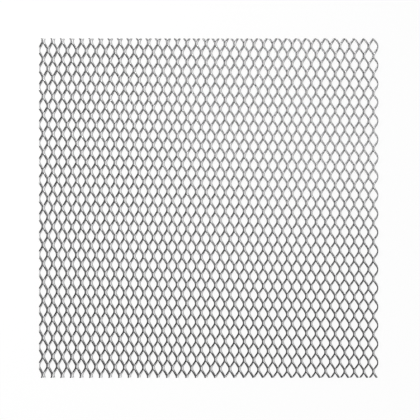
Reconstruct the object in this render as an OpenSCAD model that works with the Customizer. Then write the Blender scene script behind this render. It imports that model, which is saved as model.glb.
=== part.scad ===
// Raised expanded aluminium mesh, one sheet cut square.
// It is built the way it is made. Plain sheet is slit and stretched, so each strip between
// two rows of slits becomes a zigzag, and it stays joined to the next strip at the bonds.
// The strips are stacked on edge in steps, and the whole stack is then laid flat.

/* [Sheet] */
// Width of the cut sheet, across the strips
sheet_width = 300; // [100:1:320]
// Length of the cut sheet, along the strips
sheet_length = 300; // [100:1:320]
// Thickness of the plain sheet before it is slit
sheet_t = 1; // [0.8:0.1:1.5]

/* [Mesh] */
// Short diagonal of one diamond, from bond centre to bond centre
short_way = 8.474; // [7.5:0.001:11]
// Long diagonal of one diamond, from bond centre to bond centre
long_way = 16.43; // [14:0.01:20]
// Width of one strand, the distance between two slits
strand_w = 2; // [1.4:0.1:2.8]
// Length of a bond along the strips
bond_l = 4; // [2.5:0.1:5]
// How far each strip sits below an exact half step, seen as rows that fall to one side
row_drift = 0.075; // [0:0.005:0.15]

/* [Cut] */
// Place of the middle bond from the centre of the sheet, across the strips
bond_x = 1.92; // [-4:0.01:4]
// Place of the middle bond from the centre of the sheet, along the strips
bond_y = 5.75; // [-8:0.01:8]
// Least width that a cut strip keeps at the edge of the sheet
least_cut = 0.5; // [0.2:0.1:1]

/* [Hidden] */

aluminium = [0.78, 0.79, 0.80];
bands = 4;
places = 1000;

// Each strip steps up by the stroke as it steps across by the strand width.
half_short = short_way / 2;
stroke = round(sqrt(pow(half_short, 2) - pow(strand_w, 2)) * places) / places;
step = norm([strand_w, stroke]);
lean = atan2(stroke, strand_w);
rise = strand_w * sin(lean);
edge_x = sheet_t * sin(lean);

// The strand climbs one stroke between two bonds and keeps the sheet's thickness.
half_long = long_way / 2;
to_high = half_long - row_drift;
half_bond = bond_l / 2;
run = half_long - bond_l;
reach = norm([stroke + sheet_t, run]);
slope = acos(sheet_t / reach) - atan2(run, stroke + sheet_t);
mitre = sheet_t * tan(slope / 2);

// The first and last strips that the cut leaves, and the bonds along one strip.
start_x = bond_x - edge_x / 2;
first_strip = ceil((-sheet_width / 2 - start_x - edge_x + least_cut) / step) - 1;
last_strip = floor((sheet_width / 2 - start_x - least_cut) / step);
strip_count = last_strip - first_strip + 1;
cell_span = ceil(sheet_length / long_way / 2) + 1;
cut_h = 4 * (rise + sheet_t);

// The slit planes, added up strip by strip so that two strips meet on one plane.
slits = [for (i = 0, x = first_strip * strand_w; i < strip_count; i = i + 1, x = x + strand_w) x];

// The plan width of one flat, and how far from the middle of the sheet a bond still holds.
flat_x = strand_w * cos(lean) + edge_x;
held_reach = (sheet_length + bond_l) / 2 - least_cut;

// One cell of a strip's outline: the low flat, then the high flat.
function under(y, k) = [
    for (i = [-k : k], p = [
        [y + i * long_way - half_bond, 0],
        [y + i * long_way + half_bond, 0],
        [y + i * long_way + to_high - half_bond + mitre, stroke],
        [y + i * long_way + to_high + half_bond - mitre, stroke]
    ]) p
];

function over(y, k) = [
    for (i = [k : -1 : -k], p = [
        [y + i * long_way + to_high + half_bond, stroke + sheet_t],
        [y + i * long_way + to_high - half_bond, stroke + sheet_t],
        [y + i * long_way + half_bond - mitre, sheet_t],
        [y + i * long_way - half_bond + mitre, sheet_t]
    ]) p
];

function phase(n) = bond_y - n * row_drift - (n % 2 == 0 ? 0 : half_long);

// A side cut that leaves too little of one row of flats parts the strip there. The strip then
// hangs on the bonds of its other side, and ends half a diamond past the outermost of them.
function left_of(n) = start_x + n * step;
function right_of(n) = left_of(n) + step + edge_x;
function lows_cut(n) = left_of(n) + flat_x < least_cut - sheet_width / 2;
function highs_cut(n) = right_of(n) - flat_x > sheet_width / 2 - least_cut;
function held_at(n) = phase(n) + (lows_cut(n) ? to_high : 0);
function first_held(n) = held_at(n) + ceil((-held_reach - held_at(n)) / long_way) * long_way;
function last_held(n) = held_at(n) + floor((held_reach - held_at(n)) / long_way) * long_way;
function ends(n) = lows_cut(n) || highs_cut(n)
    ? [max(-sheet_length / 2, first_held(n) - half_long), min(sheet_length / 2, last_held(n) + half_long)]
    : [-sheet_length / 2, sheet_length / 2];

// The outline of one strip, cut square at both ends.
module strip_outline(n) {
    intersection() {
        polygon(concat(under(phase(n), cell_span), over(phase(n), cell_span)));
        translate([ends(n)[0], -cut_h])
            square([ends(n)[1] - ends(n)[0], 2 * cut_h]);
    }
}

module strip(n) {
    translate([slits[n - first_strip], 0, n * stroke])
        rotate([90, 0, 90])
            linear_extrude(height = strand_w)
                strip_outline(n);
}

// The upright cut at the left and right of the sheet, turned back into the stack.
module side_cut() {
    rotate([0, -lean, 0])
        translate([-sheet_width / 2 - start_x, -sheet_length, -cut_h])
            cube([sheet_width, 2 * sheet_length, 2 * cut_h]);
}

module cut_strip(n) {
    intersection() {
        strip(n);
        side_cut();
    }
}

module placed_strip(n) {
    if (left_of(n) < -sheet_width / 2 || right_of(n) > sheet_width / 2)
        cut_strip(n);
    else
        strip(n);
}

// One band holds its share of the strips, bonded face to face.
module mesh_band(b) {
    low = first_strip + floor(b * strip_count / bands);
    high = first_strip + floor((b + 1) * strip_count / bands) - 1;
    color(aluminium)
        translate([start_x, 0, rise])
            rotate([0, lean, 0])
                union() {
                    for (n = [low : high]) placed_strip(n);
                }
}

mesh_band(0);  // mesh_band_1
mesh_band(1);  // mesh_band_2
mesh_band(2);  // mesh_band_3
mesh_band(3);  // mesh_band_4
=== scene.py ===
import math

import bmesh
import bpy
import numpy as np
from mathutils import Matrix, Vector


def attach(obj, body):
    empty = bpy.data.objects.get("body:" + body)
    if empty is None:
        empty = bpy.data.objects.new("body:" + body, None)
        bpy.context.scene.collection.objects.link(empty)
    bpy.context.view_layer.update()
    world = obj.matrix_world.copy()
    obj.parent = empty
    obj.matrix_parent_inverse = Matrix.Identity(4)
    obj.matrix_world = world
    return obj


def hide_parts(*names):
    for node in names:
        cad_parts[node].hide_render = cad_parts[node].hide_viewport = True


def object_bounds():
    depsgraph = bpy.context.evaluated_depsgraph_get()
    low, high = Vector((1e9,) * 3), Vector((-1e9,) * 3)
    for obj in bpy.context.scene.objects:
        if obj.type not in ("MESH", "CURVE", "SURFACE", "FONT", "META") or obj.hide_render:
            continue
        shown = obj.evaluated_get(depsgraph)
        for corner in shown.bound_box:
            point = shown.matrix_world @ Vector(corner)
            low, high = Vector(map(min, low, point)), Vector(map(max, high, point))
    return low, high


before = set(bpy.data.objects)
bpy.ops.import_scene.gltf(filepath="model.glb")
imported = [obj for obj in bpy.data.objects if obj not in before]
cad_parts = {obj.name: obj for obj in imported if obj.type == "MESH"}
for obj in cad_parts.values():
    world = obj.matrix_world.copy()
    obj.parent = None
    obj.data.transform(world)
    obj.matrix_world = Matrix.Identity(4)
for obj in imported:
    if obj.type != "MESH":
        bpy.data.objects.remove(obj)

# Raised expanded aluminium mesh, cut square, seen from straight above on a white table.
# The source holds the sheet with straight strands and sharp bends. Here every strand gets the
# round bends, the twist and the sheared edges that slitting and stretching leave on it.

CAD_LOW, CAD_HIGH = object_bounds()
MIDDLE = (CAD_LOW + CAD_HIGH) / 2

# The sheet, in metres
MM = 0.001
SHEET_T = 1.0 * MM
SHORT_WAY = 8.474 * MM
LONG_WAY = 16.43 * MM
STRAND_W = 2.0 * MM
ROW_DRIFT = 0.075 * MM
BOND_X = 1.92 * MM
BOND_Y = 5.75 * MM
LEAST_CUT = 0.5 * MM
BANDS = ["mesh_band_1", "mesh_band_2", "mesh_band_3", "mesh_band_4"]

# The strand's wave. On the side where a flat is bonded it is long, on the free side it is short.
BONDED_FLAT = 3.9 * MM
FREE_FLAT = 2.4 * MM
BEND_REACH = 1.7 * MM
CORNER = 0.18 * MM
LEAST_CORNER = 0.01 * MM
BOND_FADE = 1.2 * MM

# How finely a strand is drawn
RINGS_A_CELL = 34
BEND_SAMPLES = 15
SLOPE_STEP = 0.01 * MM

# The two faces of the metal. The sheared edge's dark colour is painted shade, and so is the dark
# band painted on the rolled face beside each free edge
ROLLED = {"dark": (0.83, 0.83, 0.835), "light": (0.92, 0.92, 0.925),
          "smooth": 0.18, "rough": 0.22, "relief": 0.25}
# The sheared edge's colour is kept dark as painted shade; its roughness and relief are its own
SHEARED = {"dark": (0.18, 0.18, 0.182), "light": (0.23, 0.23, 0.232),
           "smooth": 0.16, "rough": 0.20, "relief": 0.4}
# Painted shade: the colour of the dark band beside each free edge, and how far it reaches
EDGE_SHADE_TONE = (0.12, 0.12, 0.12)
EDGE_SHADE_REACH = 0.85 * MM
GRAIN_DEPTH = 0.02 * MM

# The table, and how white the camera and the metal see it
TABLE_SIDE = 6.0
TABLE_Z = -0.05 * MM
TABLE_PAINT = (0.9, 0.9, 0.9)
TABLE_TO_CAMERA = 0.92
TABLE_TO_METAL = 0.45

# The studio around it. A screen has its azimuth, height, radius and softness in degrees, then
# its brightness. The first is the dark side of the room, which the sheared edges mirror.
ROOM_LEVEL = 0.3
BACKDROP_LEVEL = 0.95
SCREENS = [
    (180, 15, 58, 10, 0.002),
    (0, 35, 40, 15, 1.0),
    (186, 57, 12, 4, 1.4),
    (119, 28, 10, 3, 4.5),
    (128, 44, 7, 3, 3.5),
    (250, 24, 11, 3, 3.5),
]

# The photograph's place
EYE_HEIGHT = 0.75
SENSOR_WIDTH = 36
PHOTO_SIDE = 420
PHOTO_MM_A_PIXEL = 0.8876
SHEET_PIXEL = (208.55, 208.1)

# A strip steps up by the stroke as it steps across, and the stack is laid flat by the lean.
half_short = SHORT_WAY / 2
half_long = LONG_WAY / 2
stroke = math.sqrt(half_short ** 2 - STRAND_W ** 2)
lean = math.atan2(stroke, STRAND_W)
edge_x = SHEET_T * math.sin(lean)
start_x = BOND_X - edge_x / 2
rise = STRAND_W * math.sin(lean)
to_high = half_long - ROW_DRIFT


def strips_of_bands():
    """The strip numbers of each band, counted as the source counts them."""
    first = math.ceil((CAD_LOW.x - start_x - edge_x + LEAST_CUT) / half_short) - 1
    last = math.floor((CAD_HIGH.x - start_x - LEAST_CUT) / half_short)
    count = last - first + 1
    shares = [first + i * count // len(BANDS) for i in range(len(BANDS) + 1)]
    return [range(a, b) for a, b in zip(shares, shares[1:])]


def wave(y, low_flat, high_flat):
    """Height of a strand's edge at y, low at 0 and high at to_high, with its bends rounded."""
    stations = [0, low_flat / 2, to_high - high_flat / 2, to_high + high_flat / 2,
                LONG_WAY - low_flat / 2, LONG_WAY]
    heights = [0, 0, stroke, stroke, 0, 0]
    weights = np.hanning(BEND_SAMPLES + 2)[1:-1]
    reach = np.linspace(-BEND_REACH, BEND_REACH, BEND_SAMPLES)
    total = sum(w * np.interp(np.mod(y - r, LONG_WAY), stations, heights)
                for w, r in zip(weights, reach))
    return total / weights.sum()


def slope(y, low_flat, high_flat):
    """How steeply the wave climbs at y."""
    ahead = wave(y + SLOPE_STEP, low_flat, high_flat)
    behind = wave(y - SLOPE_STEP, low_flat, high_flat)
    return (ahead - behind) / (2 * SLOPE_STEP)


def held(along, centre, flat):
    """1 where an edge of the strand is bonded to the next strip, 0 where it is free."""
    away = np.abs(np.mod(along - centre + half_long, LONG_WAY) - half_long)
    return np.clip((flat / 2 + BOND_FADE - away) / BOND_FADE, 0, 1)


def section(left_corner, right_corner):
    """The eight points around the strand: how far each is across the strand and through it."""
    across, through = [], []
    for far, up, turn in ((1, 1, 0), (0, 1, 90), (0, 0, 180), (1, 0, 270)):
        corner = right_corner if far else left_corner
        for part in (0, 90):
            angle = math.radians(turn + part)
            across.append((STRAND_W - corner if far else corner) + corner * math.cos(angle))
            through.append((SHEET_T - corner if up else corner) + corner * math.sin(angle))
    return np.hstack(across), np.hstack(through)


def strand(number):
    """Rings of points along one strip, laid down flat in the sheet's place.

    With each point come its distances from the strip's left and right sheared edge. Where that
    edge is bonded there is none, and the distance is longer than the strip is wide.
    """
    phase = BOND_Y - number * ROW_DRIFT - (0 if number % 2 == 0 else half_long)
    spare = LONG_WAY / 4
    rings = int((CAD_HIGH.y - CAD_LOW.y + 2 * spare) / LONG_WAY * RINGS_A_CELL)
    y = np.linspace(CAD_LOW.y - spare, CAD_HIGH.y + spare, rings)[:, None]
    along = y - phase
    left = wave(along, BONDED_FLAT, FREE_FLAT)
    right = wave(along, FREE_FLAT, BONDED_FLAT)
    left_slope = slope(along, BONDED_FLAT, FREE_FLAT)
    right_slope = slope(along, FREE_FLAT, BONDED_FLAT)
    left_held, right_held = held(along, 0, BONDED_FLAT), held(along, to_high, BONDED_FLAT)
    across, through = section(CORNER * (1 - left_held) + LEAST_CORNER,
                              CORNER * (1 - right_held) + LEAST_CORNER)
    share = across / STRAND_W
    tilt = left_slope * (1 - share) + right_slope * share
    length = np.sqrt(1 + tilt ** 2)
    off = through - SHEET_T / 2
    stack_x = across + number * STRAND_W
    stack_y = y - off * tilt / length
    stack_z = left * (1 - share) + right * share + off / length + SHEET_T / 2 + number * stroke
    sheet_x = start_x + stack_x * math.cos(lean) + stack_z * math.sin(lean)
    sheet_z = rise - stack_x * math.sin(lean) + stack_z * math.cos(lean)
    from_left = across + left_held * STRAND_W
    from_right = STRAND_W - across + right_held * STRAND_W
    points = np.stack([sheet_x, stack_y, sheet_z], -1)
    return points, np.stack([from_left, from_right, 0 * across], -1)


def skin(count, around, start):
    """The faces between rings of points, and 1 for each that lies on a sheared edge."""
    ring, corner = np.meshgrid(np.arange(count - 1), np.arange(around), indexing="ij")
    after = (corner + 1) % around
    quads = np.stack([ring * around + corner, (ring + 1) * around + corner,
                      (ring + 1) * around + after, ring * around + after], -1) + start
    return quads.reshape(-1, 4), np.isin(corner, (3, 7)).astype(np.int32).reshape(-1)


def square_cut(mesh):
    """Cuts the band where the sheet ends and closes the cut faces."""
    shape = bmesh.new()
    shape.from_mesh(mesh)
    for place, outward in ((CAD_LOW, Vector((-1, 0, 0))), (CAD_HIGH, Vector((1, 0, 0))),
                           (CAD_LOW, Vector((0, -1, 0))), (CAD_HIGH, Vector((0, 1, 0)))):
        whole = shape.verts[:] + shape.edges[:] + shape.faces[:]
        bmesh.ops.bisect_plane(shape, geom=whole, plane_co=place, plane_no=outward,
                               clear_outer=True)
        rim = [e for e in shape.edges if e.is_boundary]
        made = bmesh.ops.holes_fill(shape, edges=rim, sides=0)
        for face in made["faces"]:
            face.material_index = 1
            face.smooth = False
    shape.to_mesh(mesh)
    shape.free()


def band_mesh(name, strips, finishes):
    """The strands of one band, with the distance of each point from the sheared edges."""
    points, edge_gaps, faces, sheared_faces = [], [], [], []
    start = 0
    for number in strips:
        rings, gaps = strand(number)
        count, around = rings.shape[:2]
        quads, on_edge = skin(count, around, start)
        points.append(rings.reshape(-1, 3))
        edge_gaps.append(gaps.reshape(-1, 3))
        faces.append(quads)
        sheared_faces.append(on_edge)
        start += count * around
    mesh = bpy.data.meshes.new(name)
    mesh.from_pydata(np.concatenate(points).tolist(), [], np.concatenate(faces).tolist())
    for finish in finishes:
        mesh.materials.append(finish)
    mesh.polygons.foreach_set("material_index", np.concatenate(sheared_faces))
    mesh.polygons.foreach_set("use_smooth", np.ones(len(mesh.polygons), bool))
    kept = mesh.attributes.new("from_edges", "FLOAT_VECTOR", "POINT")
    kept.data.foreach_set("vector", np.concatenate(edge_gaps).ravel())
    return mesh


def band(node, strips, finishes):
    """One band of the sheet as a single object, in place of the band in the source."""
    mesh = band_mesh(node + "_strands", strips, finishes)
    square_cut(mesh)
    piece = bpy.data.objects.new(node + "_strands", mesh)
    bpy.context.scene.collection.objects.link(piece)
    even = piece.modifiers.new("even faces", "WEIGHTED_NORMAL")
    even.keep_sharp = True
    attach(piece, "root")
    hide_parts(node)


def new_group(name, outputs, **inputs):
    """A shader node group with number inputs and number outputs."""
    group = bpy.data.node_groups.new(name, "ShaderNodeTree")
    for label, value in inputs.items():
        socket = group.interface.new_socket(label.replace("_", " ").capitalize(), in_out="INPUT",
                                            socket_type="NodeSocketFloat")
        socket.default_value = value
    for label in outputs:
        group.interface.new_socket(label, in_out="OUTPUT", socket_type="NodeSocketFloat")
    return group


def mill_grain():
    """Fine rolling lines with cloudy patches, as on mill finish aluminium."""
    group = new_group("mill grain", ["Clouds", "Lines"], cloud_size=60.0, line_size=900.0)
    nodes, link = group.nodes, group.links.new
    given, result = nodes.new("NodeGroupInput"), nodes.new("NodeGroupOutput")
    place = nodes.new("ShaderNodeTexCoord")
    clouds = nodes.new("ShaderNodeTexNoise")
    clouds.inputs["Detail"].default_value = 4
    link(place.outputs["Object"], clouds.inputs["Vector"])
    link(given.outputs["Cloud size"], clouds.inputs["Scale"])
    stretch = nodes.new("ShaderNodeMapping")
    stretch.inputs["Scale"].default_value = (1.0, 0.08, 1.0)
    link(place.outputs["Object"], stretch.inputs["Vector"])
    lines = nodes.new("ShaderNodeTexNoise")
    lines.inputs["Detail"].default_value = 3
    link(stretch.outputs["Vector"], lines.inputs["Vector"])
    link(given.outputs["Line size"], lines.inputs["Scale"])
    link(clouds.outputs["Fac"], result.inputs["Clouds"])
    link(lines.outputs["Fac"], result.inputs["Lines"])
    return group


def aluminium(name, grain, dark, light, smooth, rough, relief):
    """Bare aluminium: its colour drifts with the clouds, and the lines roughen and raise it."""
    material = bpy.data.materials.new(name)
    material.use_nodes = True
    nodes, link = material.node_tree.nodes, material.node_tree.links.new
    shader = nodes["Principled BSDF"]
    shader.inputs["Metallic"].default_value = 1
    effect = nodes.new("ShaderNodeGroup")
    effect.node_tree = grain
    tone = nodes.new("ShaderNodeMix")
    tone.data_type = "RGBA"
    tone.inputs["A"].default_value = (*dark, 1)
    tone.inputs["B"].default_value = (*light, 1)
    link(effect.outputs["Clouds"], tone.inputs["Factor"])
    link(tone.outputs["Result"], shader.inputs["Base Color"])
    gloss = nodes.new("ShaderNodeMapRange")
    gloss.inputs["From Min"].default_value = 0.3
    gloss.inputs["From Max"].default_value = 0.7
    gloss.inputs["To Min"].default_value = smooth
    gloss.inputs["To Max"].default_value = rough
    link(effect.outputs["Lines"], gloss.inputs["Value"])
    link(gloss.outputs["Result"], shader.inputs["Roughness"])
    bump = nodes.new("ShaderNodeBump")
    bump.inputs["Strength"].default_value = relief
    bump.inputs["Distance"].default_value = GRAIN_DEPTH
    link(effect.outputs["Lines"], bump.inputs["Height"])
    link(bump.outputs["Normal"], shader.inputs["Normal"])
    return material


def paint_edge_shade(material, tone, reach):
    """Painted shade: a dark band on the rolled face beside each free edge, fading out with the
    distance from the edge.
    """
    nodes, link = material.node_tree.nodes, material.node_tree.links.new
    shader = nodes["Principled BSDF"]
    bright = shader.inputs["Base Color"].links[0].from_socket
    gaps = nodes.new("ShaderNodeAttribute")
    gaps.attribute_name = "from_edges"
    sides = nodes.new("ShaderNodeSeparateXYZ")
    link(gaps.outputs["Vector"], sides.inputs["Vector"])
    nearest = nodes.new("ShaderNodeMath")
    nearest.operation = "MINIMUM"
    link(sides.outputs["X"], nearest.inputs[0])
    link(sides.outputs["Y"], nearest.inputs[1])
    fade = nodes.new("ShaderNodeMapRange")
    fade.interpolation_type = "SMOOTHSTEP"
    fade.inputs["From Min"].default_value = 0.6 * reach
    fade.inputs["From Max"].default_value = 1.4 * reach
    fade.inputs["To Min"].default_value = 1
    fade.inputs["To Max"].default_value = 0
    link(nearest.outputs[0], fade.inputs["Value"])
    # The painted shade is mixed over the metal's own colour here
    edge_shaded = nodes.new("ShaderNodeMix")
    edge_shaded.data_type = "RGBA"
    edge_shaded.inputs["B"].default_value = (*tone, 1)
    link(fade.outputs["Result"], edge_shaded.inputs["Factor"])
    link(bright, edge_shaded.inputs["A"])
    link(edge_shaded.outputs["Result"], shader.inputs["Base Color"])


def table_finish():
    """White to the camera. The metal sees it partly white, with the mesh's shadow still on it."""
    material = bpy.data.materials.new("white table")
    material.use_nodes = True
    nodes, link = material.node_tree.nodes, material.node_tree.links.new
    nodes.clear()
    output = nodes.new("ShaderNodeOutputMaterial")
    paint = nodes.new("ShaderNodeBsdfDiffuse")
    paint.inputs["Color"].default_value = (*TABLE_PAINT, 1)
    glow = nodes.new("ShaderNodeEmission")
    glow.inputs["Color"].default_value = (1, 1, 1, 1)
    seen = nodes.new("ShaderNodeLightPath")
    to_metal = nodes.new("ShaderNodeMath")
    to_metal.operation = "MULTIPLY"
    to_metal.inputs[1].default_value = TABLE_TO_METAL
    to_both = nodes.new("ShaderNodeMath")
    to_both.operation = "MULTIPLY_ADD"
    to_both.inputs[1].default_value = TABLE_TO_CAMERA
    mixed = nodes.new("ShaderNodeMixShader")
    link(seen.outputs["Is Glossy Ray"], to_metal.inputs[0])
    link(seen.outputs["Is Camera Ray"], to_both.inputs[0])
    link(to_metal.outputs[0], to_both.inputs[2])
    link(to_both.outputs[0], mixed.inputs["Fac"])
    link(paint.outputs[0], mixed.inputs[1])
    link(glow.outputs[0], mixed.inputs[2])
    link(mixed.outputs[0], output.inputs["Surface"])
    return material


def table_top():
    """The table that the sheet lies on."""
    half = TABLE_SIDE / 2
    mesh = bpy.data.meshes.new("table")
    mesh.from_pydata([(-half, -half, TABLE_Z), (half, -half, TABLE_Z), (half, half, TABLE_Z),
                      (-half, half, TABLE_Z)], [], [(0, 1, 2, 3)])
    mesh.materials.append(table_finish())
    table = bpy.data.objects.new("table", mesh)
    bpy.context.scene.collection.objects.link(table)


def direction(azimuth, height):
    """The unit vector towards a place around the sheet, given in degrees."""
    a, e = math.radians(azimuth), math.radians(height)
    return Vector((math.cos(a) * math.cos(e), math.sin(a) * math.cos(e), math.sin(e)))


def screen_mask(tree, place, azimuth, height, radius, soft):
    """1 inside a round screen in the sky, 0 outside, with a soft rim."""
    nodes, link = tree.nodes, tree.links.new
    towards = nodes.new("ShaderNodeVectorMath")
    towards.operation = "DOT_PRODUCT"
    towards.inputs[1].default_value = direction(azimuth, height)
    link(place, towards.inputs[0])
    away = nodes.new("ShaderNodeMath")
    away.operation = "ARCCOSINE"
    link(towards.outputs["Value"], away.inputs[0])
    fade = nodes.new("ShaderNodeMapRange")
    fade.interpolation_type = "SMOOTHSTEP"
    fade.inputs["From Min"].default_value = math.radians(radius - soft)
    fade.inputs["From Max"].default_value = math.radians(radius + soft)
    fade.inputs["To Min"].default_value = 1
    fade.inputs["To Max"].default_value = 0
    link(away.outputs[0], fade.inputs["Value"])
    return fade.outputs["Result"]


def studio(screens):
    """Plain studio surroundings with a few soft lighter and darker screens."""
    world = bpy.data.worlds.new("studio")
    bpy.context.scene.world = world
    world.use_nodes = True
    tree = world.node_tree
    nodes, link = tree.nodes, tree.links.new
    nodes.clear()
    output = nodes.new("ShaderNodeOutputWorld")
    background = nodes.new("ShaderNodeBackground")
    link(background.outputs[0], output.inputs["Surface"])
    place = nodes.new("ShaderNodeTexCoord").outputs["Generated"]
    room = None
    for *where, strength in screens:
        screen = nodes.new("ShaderNodeMix")
        screen.inputs["A"].default_value = ROOM_LEVEL
        screen.inputs["B"].default_value = strength
        link(screen_mask(tree, place, *where), screen.inputs["Factor"])
        if room:
            link(room, screen.inputs["A"])
        room = screen.outputs["Result"]
    seen = nodes.new("ShaderNodeLightPath")
    backdrop = nodes.new("ShaderNodeMix")
    backdrop.inputs["B"].default_value = BACKDROP_LEVEL
    link(seen.outputs["Is Camera Ray"], backdrop.inputs["Factor"])
    link(room, backdrop.inputs["A"])
    link(backdrop.outputs["Result"], background.inputs["Color"])


def softbox(name, azimuth, height, distance, side, power):
    """A square lamp that faces the middle of the sheet."""
    towards = direction(azimuth, height)
    lamp = bpy.data.lights.new(name, "AREA")
    lamp.shape = "SQUARE"
    lamp.size = side
    lamp.energy = power
    box = bpy.data.objects.new(name, lamp)
    bpy.context.scene.collection.objects.link(box)
    box.location = MIDDLE + towards * distance
    box.rotation_euler = (-towards).to_track_quat("-Z", "Y").to_euler()


def photo_camera():
    """A camera straight above the sheet that frames it as the photograph does."""
    pixel = PHOTO_MM_A_PIXEL * MM
    lens = bpy.data.cameras.new("camera")
    lens.sensor_width = SENSOR_WIDTH
    lens.lens = SENSOR_WIDTH * EYE_HEIGHT / (PHOTO_SIDE * pixel)
    camera = bpy.data.objects.new("camera", lens)
    bpy.context.scene.collection.objects.link(camera)
    camera.location = (MIDDLE.x + (PHOTO_SIDE / 2 - SHEET_PIXEL[0]) * pixel,
                       MIDDLE.y - (PHOTO_SIDE / 2 - SHEET_PIXEL[1]) * pixel, EYE_HEIGHT)
    bpy.context.scene.camera = camera


grain = mill_grain()
rolled = aluminium("rolled aluminium", grain, **ROLLED)
sheared = aluminium("sheared aluminium edge", grain, **SHEARED)
# Paint a dark band of shade beside every free edge of the rolled face
paint_edge_shade(rolled, EDGE_SHADE_TONE, EDGE_SHADE_REACH)
for node, strips in zip(BANDS, strips_of_bands()):
    band(node, strips, [rolled, sheared])
table_top()
softbox("wide box", azimuth=163, height=51, distance=0.63, side=0.28, power=1.85)
softbox("small box", azimuth=140, height=42, distance=0.70, side=0.12, power=0.95)
studio(SCREENS)
photo_camera()
bpy.context.scene.view_settings.view_transform = "Standard"
